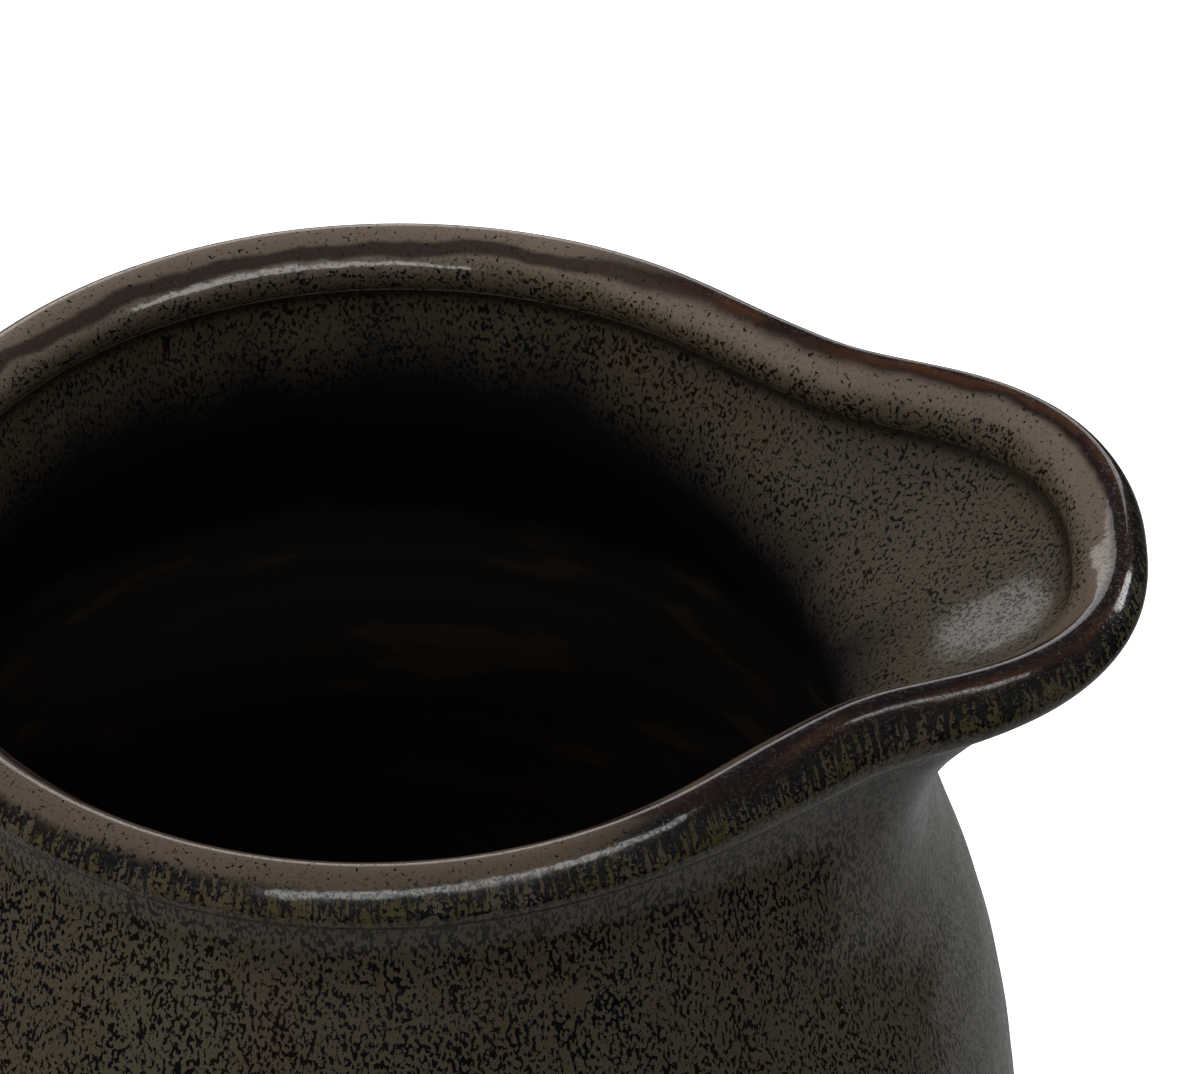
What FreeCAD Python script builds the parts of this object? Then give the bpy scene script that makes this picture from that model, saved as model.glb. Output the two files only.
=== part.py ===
"""Wide-mouthed stoneware sake bottle with a rolled rim and a pulled pouring lip."""
import FreeCAD
import Part
import math
import os

# Main sizes, in mm.
HEIGHT = 128.0            # top of the rolled rim, away from the lip
MOUTH_RADIUS = 30.0       # centre line of the rolled rim
COAT = 0.4                # glaze thickness

# Foot.
FOOT_RADIUS = 27.5        # outer edge of the foot ring where it meets the wall
FOOT_INNER = 22.0
FOOT_HEIGHT = 5.6
FOOT_DRAFT = 1.2          # how much the ring narrows towards the ground
FOOT_EDGE = 0.8           # rounding of the standing edge
POOL_RADIUS = 21.4        # glaze pool in the foot recess
FLOOR_SEAT = 24.0         # where the floor disc sits on the foot ring

# Lip: how far the mouth is pulled out, and over what arc. Angles are in degrees.
LIP_REACH = 14.0
LIP_ARC = 25.9            # half width of the pull
LIP_SQUARENESS = 2.8      # 2 is a bell curve, higher is a squarer tongue
LIP_RISE = 2.4
LIP_RISE_ARC = 73.0
PINCH_DEPTH = 1.0         # dent left by the fingers either side of the lip
PINCH_ANGLE = 26.7
PINCH_ARC = 7.0
OVAL = 0.75               # the pulled mouth is this much off round
LIP_DROOP = 0.7           # the roll hangs this much deeper on the flanks of the lip
LIP_DROOP_ARC = 50.0
TIP_LIFT_ARC = 28.0       # the droop fades over this arc towards the tip
LIP_HALF_ANGLE = 54.0     # where the lip piece is luted into the neck collar

# How deep the pull reaches below the rim, outside and inside: full to, ends at.
PULL_OUTSIDE = (5.4, 16.0)
PULL_INSIDE = (4.6, 15.0)
PULL_FALL = 1.56
PULL_LEAN = 0.075

# Rolled rim.
RIM_DEPTH = 3.7           # from the top down to the crease under the roll

# Wall section of the finished surface: radius, height. Outside, from foot to rim.
OUTSIDE = [
    (27.5, 5.6), (27.5, 7.6), (31.2, 13.0), (37.2, 27.0), (42.2, 48.0), (43.2, 72.0),
    (40.6, 93.0), (34.3, 106.6), (32.4, 115.0), (30.1, 119.6), (29.9, 122.6), (30.8, 124.4),
]
# Over the rolled rim, from the crease outside to the crease inside.
ROLL = [
    (32.0, 124.5), (32.6, 125.7), (32.3, 126.5), (30.8, 128.4), (29.7, 128.4),
    (28.1, 126.6), (27.8, 126.0), (27.9, 125.0),
]
# Inside, from the crease down to the floor.
INSIDE = [
    (28.8, 124.3), (28.1, 122.4), (26.6, 118.2), (26.8, 114.0), (30.0, 107.0), (36.4, 94.0),
    (39.4, 76.0), (38.8, 54.0), (34.8, 33.0), (28.4, 18.6), (19.0, 11.6), (12.0, 10.3),
    (6.0, 10.3),
]
INSIDE_START = len(OUTSIDE) + 4     # the roll's last four points lean with the inside
DEGREE = 3
POLES_ROUND = 80


def hump(angle, width, power):
    """A smooth bump, 1 at zero angle and fading over the width."""
    return math.exp(-(abs(angle) / width) ** power)


def pull_out(angle):
    """Outward pull of the mouth at an angle from the lip, in degrees."""
    off = (angle + 180.0) % 360.0 - 180.0
    pull = LIP_REACH * hump(off, LIP_ARC, LIP_SQUARENESS)
    pinch = PINCH_DEPTH * hump(abs(off) - PINCH_ANGLE, PINCH_ARC, 2.0)
    return pull - pinch + OVAL * math.cos(math.radians(2.0 * off))


def pull_up(angle):
    """How far the lip lifts the mouth."""
    off = (angle + 180.0) % 360.0 - 180.0
    return LIP_RISE * hump(off, LIP_RISE_ARC, 2.0)


def pull_share(depth, inside):
    """Share of the pull felt at a depth below the rim."""
    full, end = PULL_INSIDE if inside else PULL_OUTSIDE
    if depth <= 0.0:
        return 1.0
    if depth <= full:
        return 1.0 - PULL_LEAN * depth / full
    if depth >= end:
        return 0.0
    left = (end - depth) / (end - full)
    return (1.0 - PULL_LEAN) * left ** PULL_FALL


def droop(depth, angle):
    """How far the outside of the lip sags below the thrown section."""
    off = (angle + 180.0) % 360.0 - 180.0
    end = PULL_OUTSIDE[1]
    left = min(1.0, (end - depth) / (end - RIM_DEPTH))
    if depth <= 0.0 or left <= 0.0:
        return 0.0
    flank = hump(off, LIP_DROOP_ARC, 4.0) * (1.0 - hump(off, TIP_LIFT_ARC, 3.0))
    return LIP_DROOP * flank * min(depth, RIM_DEPTH) * left


def wall_point(radius, height, inside, angle):
    """A point of the thrown section, carried to an angle and pulled with the lip."""
    depth = HEIGHT - height
    share = pull_share(depth, inside)
    side = radius - MOUTH_RADIUS
    level = height if inside else height - droop(depth, angle)
    step = 0.01
    slope = math.degrees(share * (pull_out(angle + step) - pull_out(angle - step)) / (2.0 * step))
    reach = MOUTH_RADIUS + share * pull_out(angle)
    turn = math.radians(angle)
    outward = FreeCAD.Vector(
        math.cos(turn) * reach + math.sin(turn) * slope,
        math.sin(turn) * reach - math.cos(turn) * slope,
        0.0,
    )
    outward.normalize()
    centre = FreeCAD.Vector(reach * math.cos(turn), reach * math.sin(turn), 0.0)
    centre += outward * side
    centre.z = level + share * pull_up(angle)
    return centre


def net(seam):
    """Control net of the finished surface: one row of the wall section per angle."""
    swell = 3.0 / (2.0 + math.cos(math.radians(360.0 / POLES_ROUND)))
    rows = []
    for i in range(POLES_ROUND):
        angle = seam + (i - 1) * 360.0 / POLES_ROUND
        row = []
        for j, (radius, height) in enumerate(OUTSIDE + ROLL + INSIDE):
            pole = wall_point(radius, height, j >= INSIDE_START, angle)
            row.append(FreeCAD.Vector(pole.x * swell, pole.y * swell, pole.z))
        rows.append(row)
    return rows


def sunk(rows, inset):
    """The same net, sunk square to the surface into the clay."""
    moved = []
    for i, row in enumerate(rows):
        ahead = rows[(i + 1) % len(rows)]
        behind = rows[i - 1]
        line = []
        for j, pole in enumerate(row):
            along = row[min(j + 1, len(row) - 1)] - row[max(j - 1, 0)]
            inward = along.cross(ahead[j] - behind[j])
            inward.normalize()
            line.append(pole + inward * inset)
        moved.append(line)
    return moved


def spread(count):
    """Knots and multiplicities of a clamped run of poles."""
    spans = count - DEGREE
    knots = [float(k) for k in range(spans + 1)]
    mults = [DEGREE + 1] + [1] * (spans - 1) + [DEGREE + 1]
    return knots, mults


def skin(inset, seam):
    """Closed skin over the whole section, its seam at the given angle."""
    rows = sunk(net(seam), inset)
    knots_along, mults_along = spread(len(rows[0]))
    knots_round = [float(k) for k in range(POLES_ROUND + 1)]
    mults_round = [1] * (POLES_ROUND + 1)
    surface = Part.BSplineSurface()
    surface.buildFromPolesMultsKnots(
        rows, mults_round, mults_along, knots_round, knots_along, True, False, DEGREE, DEGREE
    )
    return surface


def station(surface, level, low, high):
    """Place along the section, between two bounds, where the skin passes a level."""
    rising = surface.value(0.0, high).z > surface.value(0.0, low).z
    while high - low > 0.001:
        middle = (low + high) / 2.0
        if (surface.value(0.0, middle).z < level) == rising:
            low = middle
        else:
            high = middle
    return (low + high) / 2.0


def arcs(first, last):
    """An arc round a skin, cut at each quarter turn."""
    quarter = POLES_ROUND / 4.0
    cuts = [first, last] + [quarter * i for i in range(1, 4) if first < quarter * i < last]
    cuts.sort()
    return list(zip(cuts, cuts[1:]))


def band(surface, start, end, first=0.0, last=float(POLES_ROUND)):
    """Faces of a skin between two places along the section."""
    return [surface.toShape(a, b, start, end) for a, b in arcs(first, last)]


def hoop(surface, place, first=0.0, last=float(POLES_ROUND)):
    """Edges that run round a skin at one place along the section."""
    line = surface.vIso(place)
    return [line.toShape(a, b) for a, b in arcs(first, last)]


def circle_at(radius, height):
    """Round edges about the axis, in quarter turns."""
    centre = FreeCAD.Vector(0.0, 0.0, height)
    axis = FreeCAD.Vector(0.0, 0.0, 1.0)
    return [Part.makeCircle(radius, centre, axis, a, a + 90.0) for a in (0.0, 90.0, 180.0, 270.0)]


def bridge(edges_a, edges_b):
    """Straight-ruled faces between two runs of edges: a luted joint or the end of a coat."""
    return [Part.makeRuledSurface(a, b) for a, b in zip(edges_a, edges_b)]


def disc(edges):
    """Flat face inside round edges."""
    return [Part.Face(Part.Wire(edges))]


def closed(*groups):
    """One solid from the faces that bound it."""
    shell = Part.makeShell([face for group in groups for face in group])
    shell.sewShape(0.001)
    solid = Part.makeSolid(Part.Shell(shell.Faces))
    if solid.Volume < 0.0:
        solid.reverse()
    return solid


CLAY = skin(COAT, 0.0)
CLAY_AT_LIP = skin(COAT, 180.0)
GLAZE = skin(0.0, 0.0)

# Places along the section, outside and inside, where the clay pieces are luted.
BODY_JOINT = (station(CLAY, 68.0, 2.0, 6.0), station(CLAY, 64.0, 23.0, 28.0))
NECK_JOINT = (station(CLAY, 109.0, 5.0, 9.0), station(CLAY, 107.0, 21.0, 25.0))
RIM_JOINT = (9.4, 20.0)
COAT_BORDER = (10.3, 20.0)           # creases where the rim's coat meets the others
FLOOR_JOINT = station(CLAY, 11.6, 27.0, 32.0)
GLAZE_LINE = station(CLAY, 9.6, 0.0, 2.0)
LAST = CLAY.bounds()[3]


def foot_ring():
    """Turned ring, narrowing to the ground, with its standing edges rounded."""
    outer = FOOT_RADIUS - COAT
    corners = [
        FreeCAD.Vector(FOOT_INNER, 0.0, FOOT_HEIGHT),
        FreeCAD.Vector(FOOT_INNER + FOOT_DRAFT, 0.0, 0.0),
        FreeCAD.Vector(outer - FOOT_DRAFT, 0.0, 0.0),
        FreeCAD.Vector(outer, 0.0, FOOT_HEIGHT),
    ]
    profile = Part.Face(Part.makePolygon(corners + corners[:1]))
    ring = profile.revolve(FreeCAD.Vector(0.0, 0.0, 0.0), FreeCAD.Vector(0.0, 0.0, 1.0), 360.0)
    standing = [e for e in ring.Edges if e.BoundBox.ZMax < 0.001 and e.BoundBox.XLength > 1.0]
    return ring.makeFillet(FOOT_EDGE, standing).Solids[0]


def base_disc():
    """Floor of the bottle, bevelled where the wall is luted on."""
    seat = circle_at(FLOOR_SEAT, FOOT_HEIGHT)
    return closed(
        disc(seat),
        bridge(seat, hoop(CLAY, FLOOR_JOINT)),
        band(CLAY, FLOOR_JOINT, LAST),
        disc(hoop(CLAY, LAST)),
    )


def belly_wall():
    """Lower wall, from the foot ring to the widest part."""
    seat = circle_at(FLOOR_SEAT, FOOT_HEIGHT)
    return closed(
        bridge(seat, hoop(CLAY, 0.0)),
        band(CLAY, 0.0, BODY_JOINT[0]),
        bridge(hoop(CLAY, BODY_JOINT[0]), hoop(CLAY, BODY_JOINT[1])),
        band(CLAY, BODY_JOINT[1], FLOOR_JOINT),
        bridge(hoop(CLAY, FLOOR_JOINT), seat),
    )


def shoulder_wall():
    """Upper wall, closing in to the neck."""
    return closed(
        bridge(hoop(CLAY, BODY_JOINT[0]), hoop(CLAY, BODY_JOINT[1])),
        band(CLAY, BODY_JOINT[0], NECK_JOINT[0]),
        bridge(hoop(CLAY, NECK_JOINT[0]), hoop(CLAY, NECK_JOINT[1])),
        band(CLAY, NECK_JOINT[1], BODY_JOINT[1]),
    )


def neck_piece(surface, first, last):
    """Part of the neck between the shoulder and the rim, over an arc."""
    low = [hoop(surface, place, first, last) for place in NECK_JOINT]
    high = [hoop(surface, place, first, last) for place in RIM_JOINT]
    outer = [surface.uIso(side).toShape(NECK_JOINT[0], RIM_JOINT[0]) for side in (first, last)]
    inner = [surface.uIso(side).toShape(RIM_JOINT[1], NECK_JOINT[1]) for side in (first, last)]
    return closed(
        band(surface, NECK_JOINT[0], RIM_JOINT[0], first, last),
        band(surface, RIM_JOINT[1], NECK_JOINT[1], first, last),
        bridge(low[0], low[1]),
        bridge(high[0], high[1]),
        bridge(outer, inner),
    )


def neck_collar():
    """Short hollow-sided neck, round all of the mouth but the lip."""
    edge = LIP_HALF_ANGLE * POLES_ROUND / 360.0
    return neck_piece(CLAY, edge, POLES_ROUND - edge)


def pouring_lip():
    """Pulled channel that carries the neck out into the lip."""
    edge = LIP_HALF_ANGLE * POLES_ROUND / 360.0
    middle = POLES_ROUND / 2.0
    return neck_piece(CLAY_AT_LIP, middle - edge, middle + edge)


def rim_roll():
    """Rolled bead that follows the mouth and the lip."""
    return closed(
        band(CLAY, RIM_JOINT[0], RIM_JOINT[1]),
        bridge(hoop(CLAY, RIM_JOINT[0]), hoop(CLAY, RIM_JOINT[1])),
    )


def coat(start, end):
    """Glaze laid on the clay between two places along the section."""
    return closed(
        band(CLAY, start, end),
        band(GLAZE, start, end),
        bridge(hoop(CLAY, start), hoop(GLAZE, start)),
        bridge(hoop(CLAY, end), hoop(GLAZE, end)),
    )


def outer_glaze():
    """Glaze on the outside wall, stopping above the foot."""
    return coat(GLAZE_LINE, COAT_BORDER[0])


def rim_glaze():
    """Glaze over the rolled rim."""
    return coat(COAT_BORDER[0], COAT_BORDER[1])


def inner_glaze():
    """Glaze inside, from under the rim down over the floor."""
    start = COAT_BORDER[1]
    return closed(
        bridge(hoop(CLAY, start), hoop(GLAZE, start)),
        band(CLAY, start, LAST),
        band(GLAZE, start, LAST),
        disc(hoop(CLAY, LAST)),
        disc(hoop(GLAZE, LAST)),
    )


def base_glaze():
    """Pool of glaze in the recess of the foot."""
    bottom = FreeCAD.Vector(0.0, 0.0, FOOT_HEIGHT - COAT)
    pool = Part.makeCylinder(POOL_RADIUS, COAT, bottom)
    lower = [e for e in pool.Edges if e.BoundBox.ZMax < FOOT_HEIGHT - COAT / 2.0]
    return pool.makeFillet(COAT / 2.0, lower).Solids[0]


PIECES = [
    foot_ring, base_disc, belly_wall, shoulder_wall, neck_collar, pouring_lip, rim_roll,
    outer_glaze, rim_glaze, inner_glaze, base_glaze,
]

os.makedirs("parts", exist_ok=True)
for piece in PIECES:
    piece().exportStep("parts/" + piece.__name__ + ".step")
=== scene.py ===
import math

import bpy
from mathutils import Matrix, Vector


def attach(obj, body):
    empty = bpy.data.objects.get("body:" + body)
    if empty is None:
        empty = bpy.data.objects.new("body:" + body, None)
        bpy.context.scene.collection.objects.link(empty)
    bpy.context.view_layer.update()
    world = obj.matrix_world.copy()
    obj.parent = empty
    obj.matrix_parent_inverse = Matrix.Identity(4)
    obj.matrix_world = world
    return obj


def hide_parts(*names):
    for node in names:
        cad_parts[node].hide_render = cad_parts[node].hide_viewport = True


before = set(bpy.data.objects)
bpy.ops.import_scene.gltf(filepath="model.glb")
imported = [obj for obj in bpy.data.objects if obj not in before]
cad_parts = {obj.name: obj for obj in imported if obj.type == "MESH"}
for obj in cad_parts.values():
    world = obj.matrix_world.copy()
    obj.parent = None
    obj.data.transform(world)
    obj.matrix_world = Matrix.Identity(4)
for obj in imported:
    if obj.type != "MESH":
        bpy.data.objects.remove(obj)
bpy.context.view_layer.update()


# --- Outer glaze -----------------------------------------------------------------------------
# The coat poured over the outside wall of the thrown bottle. It follows the wall up from a
# thick rolled edge above the bare foot to the crease under the rolled rim.

MM = 0.001


def sockets(tree, wanted, direction="INPUT"):
    """Name a tree's inputs or outputs, with the value each starts from."""
    for name, kind, value in wanted:
        socket = tree.interface.new_socket(name, in_out=direction, socket_type="NodeSocket" + kind)
        if value is not None:
            socket.default_value = value


def node(tree, kind, links=(), **settings):
    """Add a node, set it up, and feed its inputs with links or plain values."""
    made = tree.nodes.new(kind)
    for name, value in settings.items():
        setattr(made, name, value)
    for place, value in dict(links).items():
        feed(tree, made.inputs[place], value)
    return made


def feed(tree, socket, value):
    """Link a socket if it is given another node's output, else set it."""
    if isinstance(value, bpy.types.NodeSocket):
        tree.links.new(value, socket)
    else:
        socket.default_value = value


def reckon(tree, operation, *values, clamp=False):
    """One step of arithmetic."""
    made = tree.nodes.new("ShaderNodeMath")
    made.operation = operation
    made.use_clamp = clamp
    for socket, value in zip(made.inputs, values):
        feed(tree, socket, value)
    return made.outputs[0]


def fade(tree, offset, width, power):
    """A smooth hump: 1 where the offset is nothing, fading over the width."""
    ratio = reckon(tree, "DIVIDE", reckon(tree, "ABSOLUTE", offset), width)
    return reckon(tree, "EXPONENT", reckon(tree, "MULTIPLY", reckon(tree, "POWER", ratio, power), -1.0))


LIP_SIZES = [
    ("Lip Reach", "Float", 14.0 * MM), ("Lip Arc", "Float", 25.9), ("Lip Squareness", "Float", 2.8),
    ("Pinch Depth", "Float", 1.0 * MM), ("Pinch Angle", "Float", 26.7), ("Pinch Arc", "Float", 7.0),
    ("Oval", "Float", 0.75 * MM),
]
MOUTH_SIZES = LIP_SIZES + [
    ("Lip Rise", "Float", 2.4 * MM), ("Rise Arc", "Float", 73.0), ("Rim Height", "Float", 128.0 * MM),
    ("Mouth Radius", "Float", 30.0 * MM), ("Rim Depth", "Float", 3.7 * MM),
    ("Lip Droop", "Float", 0.7), ("Droop Arc", "Float", 50.0), ("Tip Arc", "Float", 28.0),
    ("Pull Lean", "Float", 0.075),
    ("Outside Full", "Float", 5.4 * MM), ("Outside End", "Float", 16.0 * MM),
    ("Inside Full", "Float", 4.6 * MM), ("Inside End", "Float", 15.0 * MM),
    ("Pull Fall", "Float", 1.56),
]

mouth_outline = bpy.data.node_groups.new("mouth outline", "GeometryNodeTree")
sockets(mouth_outline, [("Angle", "Float", 0.0)] + LIP_SIZES)
sockets(mouth_outline, [("Pull", "Float", None)], "OUTPUT")
given = node(mouth_outline, "NodeGroupInput").outputs
tongue = reckon(mouth_outline, "MULTIPLY", given["Lip Reach"],
                fade(mouth_outline, given["Angle"], given["Lip Arc"], given["Lip Squareness"]))
beside = reckon(mouth_outline, "ABSOLUTE", given["Angle"])
beside = reckon(mouth_outline, "SUBTRACT", beside, given["Pinch Angle"])
dent = reckon(mouth_outline, "MULTIPLY", given["Pinch Depth"],
              fade(mouth_outline, beside, given["Pinch Arc"], 2.0))
twice = reckon(mouth_outline, "RADIANS", reckon(mouth_outline, "MULTIPLY", given["Angle"], 2.0))
egg = reckon(mouth_outline, "MULTIPLY", given["Oval"], reckon(mouth_outline, "COSINE", twice))
pull = reckon(mouth_outline, "ADD", reckon(mouth_outline, "SUBTRACT", tongue, dent), egg)
node(mouth_outline, "NodeGroupOutput", {"Pull": pull})

pulled_point = bpy.data.node_groups.new("pulled point", "GeometryNodeTree")
sockets(pulled_point, [("Radius", "Float", 0.0), ("Height", "Float", 0.0), ("Angle", "Float", 0.0),
                       ("Inner Side", "Float", 0.0)] + MOUTH_SIZES)
sockets(pulled_point, [("Point", "Vector", None)], "OUTPUT")
given = node(pulled_point, "NodeGroupInput").outputs
tree = pulled_point
HALF_STEP = 0.25                # degrees to each side, for the slope of the outline
pulls = []
for nudge in (0.0, HALF_STEP, -HALF_STEP):
    outline = node(tree, "GeometryNodeGroup", node_tree=mouth_outline)
    feed(tree, outline.inputs["Angle"], reckon(tree, "ADD", given["Angle"], nudge))
    for name, _, _ in LIP_SIZES:
        feed(tree, outline.inputs[name], given[name])
    pulls.append(outline.outputs["Pull"])
depth = reckon(tree, "SUBTRACT", given["Rim Height"], given["Height"])
full, end = (reckon(tree, "MULTIPLY_ADD", given["Inner Side"],
                    reckon(tree, "SUBTRACT", given["Inside " + name], given["Outside " + name]),
                    given["Outside " + name]) for name in ("Full", "End"))
lean = reckon(tree, "MULTIPLY", given["Pull Lean"], reckon(tree, "DIVIDE", depth, full, clamp=True))
left = reckon(tree, "DIVIDE", reckon(tree, "SUBTRACT", end, depth),
              reckon(tree, "SUBTRACT", end, full), clamp=True)
share = reckon(tree, "MULTIPLY", reckon(tree, "SUBTRACT", 1.0, lean),
               reckon(tree, "POWER", left, given["Pull Fall"]))
sag = reckon(tree, "MULTIPLY", given["Lip Droop"], fade(tree, given["Angle"], given["Droop Arc"], 4.0))
tip = fade(tree, given["Angle"], given["Tip Arc"], 3.0)
sag = reckon(tree, "MULTIPLY", sag, reckon(tree, "SUBTRACT", 1.0, tip))
sag = reckon(tree, "MULTIPLY", sag, reckon(tree, "SUBTRACT", 1.0, given["Inner Side"]))
above = reckon(tree, "DIVIDE", reckon(tree, "SUBTRACT", given["Outside End"], depth),
               reckon(tree, "SUBTRACT", given["Outside End"], given["Rim Depth"]), clamp=True)
hang = reckon(tree, "MAXIMUM", reckon(tree, "MINIMUM", depth, given["Rim Depth"]), 0.0)
drop = reckon(tree, "MULTIPLY", reckon(tree, "MULTIPLY", sag, above), hang)
side = reckon(tree, "SUBTRACT", given["Radius"], given["Mouth Radius"])
level = reckon(tree, "SUBTRACT", given["Height"], drop)
lift = reckon(tree, "MULTIPLY", given["Lip Rise"], fade(tree, given["Angle"], given["Rise Arc"], 2.0))
level = reckon(tree, "MULTIPLY_ADD", share, lift, level)
reach = reckon(tree, "MULTIPLY_ADD", share, pulls[0], given["Mouth Radius"])
slope = reckon(tree, "DIVIDE", reckon(tree, "SUBTRACT", pulls[1], pulls[2]), math.radians(2.0 * HALF_STEP))
slope = reckon(tree, "MULTIPLY", share, slope)
turn = reckon(tree, "RADIANS", given["Angle"])
cosine = reckon(tree, "COSINE", turn)
sine = reckon(tree, "SINE", turn)
out_x = reckon(tree, "ADD", reckon(tree, "MULTIPLY", cosine, reach), reckon(tree, "MULTIPLY", sine, slope))
out_y = reckon(tree, "SUBTRACT", reckon(tree, "MULTIPLY", sine, reach),
               reckon(tree, "MULTIPLY", cosine, slope))
squares = reckon(tree, "MULTIPLY_ADD", out_x, out_x, reckon(tree, "MULTIPLY", out_y, out_y))
length = reckon(tree, "SQRT", squares)
stretch = reckon(tree, "DIVIDE", side, length)
point_x = reckon(tree, "MULTIPLY_ADD", out_x, stretch, reckon(tree, "MULTIPLY", cosine, reach))
point_y = reckon(tree, "MULTIPLY_ADD", out_y, stretch, reckon(tree, "MULTIPLY", sine, reach))
point = node(tree, "ShaderNodeCombineXYZ", {"X": point_x, "Y": point_y, "Z": level})
node(tree, "NodeGroupOutput", {"Point": point.outputs[0]})

spun_skin = bpy.data.node_groups.new("spun skin", "GeometryNodeTree")
tree = spun_skin
sockets(tree, [("Section", "Geometry", None), ("Rows", "Int", 40), ("Steps Round", "Int", 360)] + MOUTH_SIZES)
sockets(tree, [("Skin", "Geometry", None)], "OUTPUT")
given = node(tree, "NodeGroupInput").outputs
copies = node(tree, "GeometryNodeDuplicateElements", domain="SPLINE")
feed(tree, copies.inputs["Geometry"], given["Section"])
feed(tree, copies.inputs["Amount"], reckon(tree, "ADD", given["Steps Round"], 1.0))
fraction = reckon(tree, "DIVIDE", copies.outputs["Duplicate Index"], given["Steps Round"])
angle = reckon(tree, "MULTIPLY_ADD", fraction, 360.0, -180.0)
where = node(tree, "ShaderNodeSeparateXYZ", {"Vector": node(tree, "GeometryNodeInputPosition").outputs[0]})
turn = reckon(tree, "RADIANS", angle)
BELOW_ZERO = 200.0 * MM         # a curve's radius can't be negative, so lengths are kept above it
flow = node(tree, "ShaderNodeCombineXYZ", {
    "X": reckon(tree, "MULTIPLY", where.outputs["X"], reckon(tree, "COSINE", turn)),
    "Y": reckon(tree, "MULTIPLY", where.outputs["X"], reckon(tree, "SINE", turn)),
    "Z": reckon(tree, "SUBTRACT", node(tree, "GeometryNodeInputRadius").outputs[0], BELOW_ZERO),
})
noted = node(tree, "GeometryNodeStoreNamedAttribute",
             {"Geometry": copies.outputs["Geometry"], "Name": "flow"},
             data_type="FLOAT_VECTOR", domain="POINT")
feed(tree, noted.inputs["Value"], flow.outputs[0])
pulled = node(tree, "GeometryNodeGroup", node_tree=pulled_point)
feed(tree, pulled.inputs["Radius"], where.outputs["X"])
feed(tree, pulled.inputs["Height"], where.outputs["Z"])
feed(tree, pulled.inputs["Angle"], angle)
feed(tree, pulled.inputs["Inner Side"], node(tree, "GeometryNodeInputCurveTilt").outputs[0])
for name, _, _ in MOUTH_SIZES:
    feed(tree, pulled.inputs[name], given[name])
ribs = node(tree, "GeometryNodeSetPosition", {"Geometry": noted.outputs[0], "Position": pulled.outputs[0]})
ribs = node(tree, "GeometryNodeResampleCurve", {"Curve": ribs.outputs[0], "Count": given["Rows"]})
grid = node(tree, "GeometryNodeMeshGrid", {"Vertices Y": given["Rows"]})
feed(tree, grid.inputs["Vertices X"], reckon(tree, "ADD", given["Steps Round"], 1.0))
index = node(tree, "GeometryNodeInputIndex").outputs[0]
spot = node(tree, "GeometryNodeInputPosition").outputs[0]
carried = node(tree, "GeometryNodeInputNamedAttribute", {"Name": "flow"}, data_type="FLOAT_VECTOR").outputs[0]
sampled = []
for source in (spot, carried):
    sample = node(tree, "GeometryNodeSampleIndex", data_type="FLOAT_VECTOR", domain="POINT")
    feed(tree, sample.inputs["Geometry"], ribs.outputs[0])
    feed(tree, sample.inputs["Value"], source)
    feed(tree, sample.inputs["Index"], index)
    sampled.append(sample.outputs[0])
uv = node(tree, "GeometryNodeStoreNamedAttribute", {"Geometry": grid.outputs["Mesh"], "Name": "UVMap"},
          data_type="FLOAT2", domain="CORNER")
feed(tree, uv.inputs["Value"], grid.outputs["UV Map"])
skin = node(tree, "GeometryNodeStoreNamedAttribute", {"Geometry": uv.outputs[0], "Name": "flow"},
            data_type="FLOAT_VECTOR", domain="POINT")
feed(tree, skin.inputs["Value"], sampled[1])
skin = node(tree, "GeometryNodeSetPosition", {"Geometry": skin.outputs[0], "Position": sampled[0]})
node(tree, "NodeGroupOutput", {"Skin": skin.outputs[0]})

glaze_coat = bpy.data.node_groups.new("glaze coat", "GeometryNodeTree")
tree = glaze_coat
COAT_SIZES = [("Steps Round", "Int", 360), ("Visible Rows", "Int", 100), ("Hidden Rows", "Int", 20),
              ("Ring Height", "Float", 0.0), ("Ring Pitch", "Float", 5.0 * MM),
              ("Wander", "Float", 0.0), ("Wander Size", "Float", 20.0 * MM), ("Sink", "Float", 0.09 * MM),
              ("Glaze", "Material", None)]
sockets(tree, [("Section", "Geometry", None)] + COAT_SIZES + MOUTH_SIZES)
sockets(tree, [("Coat", "Geometry", None)], "OUTPUT")
given = node(tree, "NodeGroupInput").outputs
index = node(tree, "GeometryNodeInputIndex").outputs[0]
faces = node(tree, "GeometryNodeJoinGeometry")
for order, rows in enumerate(("Visible Rows", "Hidden Rows")):
    pick = node(tree, "GeometryNodeSeparateGeometry", {"Geometry": given["Section"]}, domain="CURVE")
    feed(tree, pick.inputs["Selection"], reckon(tree, "COMPARE", index, float(order), 0.5))
    side = node(tree, "GeometryNodeGroup", {"Section": pick.outputs["Selection"], "Rows": given[rows]},
                node_tree=spun_skin)
    feed(tree, side.inputs["Steps Round"], given["Steps Round"])
    for name, _, _ in MOUTH_SIZES:
        feed(tree, side.inputs[name], given[name])
    tree.links.new(side.outputs[0], faces.inputs[0])
closed = node(tree, "GeometryNodeMergeByDistance", {"Geometry": faces.outputs[0], "Distance": 0.01 * MM})
place = node(tree, "ShaderNodeSeparateXYZ", {"Vector": node(tree, "GeometryNodeInputPosition").outputs[0]})
round_turn = reckon(tree, "ARCTAN2", place.outputs["Y"], place.outputs["X"])
round_turn = reckon(tree, "DIVIDE", round_turn, 2.0 * math.pi)
spiral = reckon(tree, "ADD", reckon(tree, "DIVIDE", place.outputs["Z"], given["Ring Pitch"]), round_turn)
ridge = reckon(tree, "SINE", reckon(tree, "MULTIPLY", spiral, 2.0 * math.pi))
often = reckon(tree, "DIVIDE", 1.0, given["Wander Size"])
unsteady = node(tree, "ShaderNodeTexNoise", {"Scale": often, "Detail": 2.0})
wander = reckon(tree, "SUBTRACT", unsteady.outputs[0], 0.5)
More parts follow.
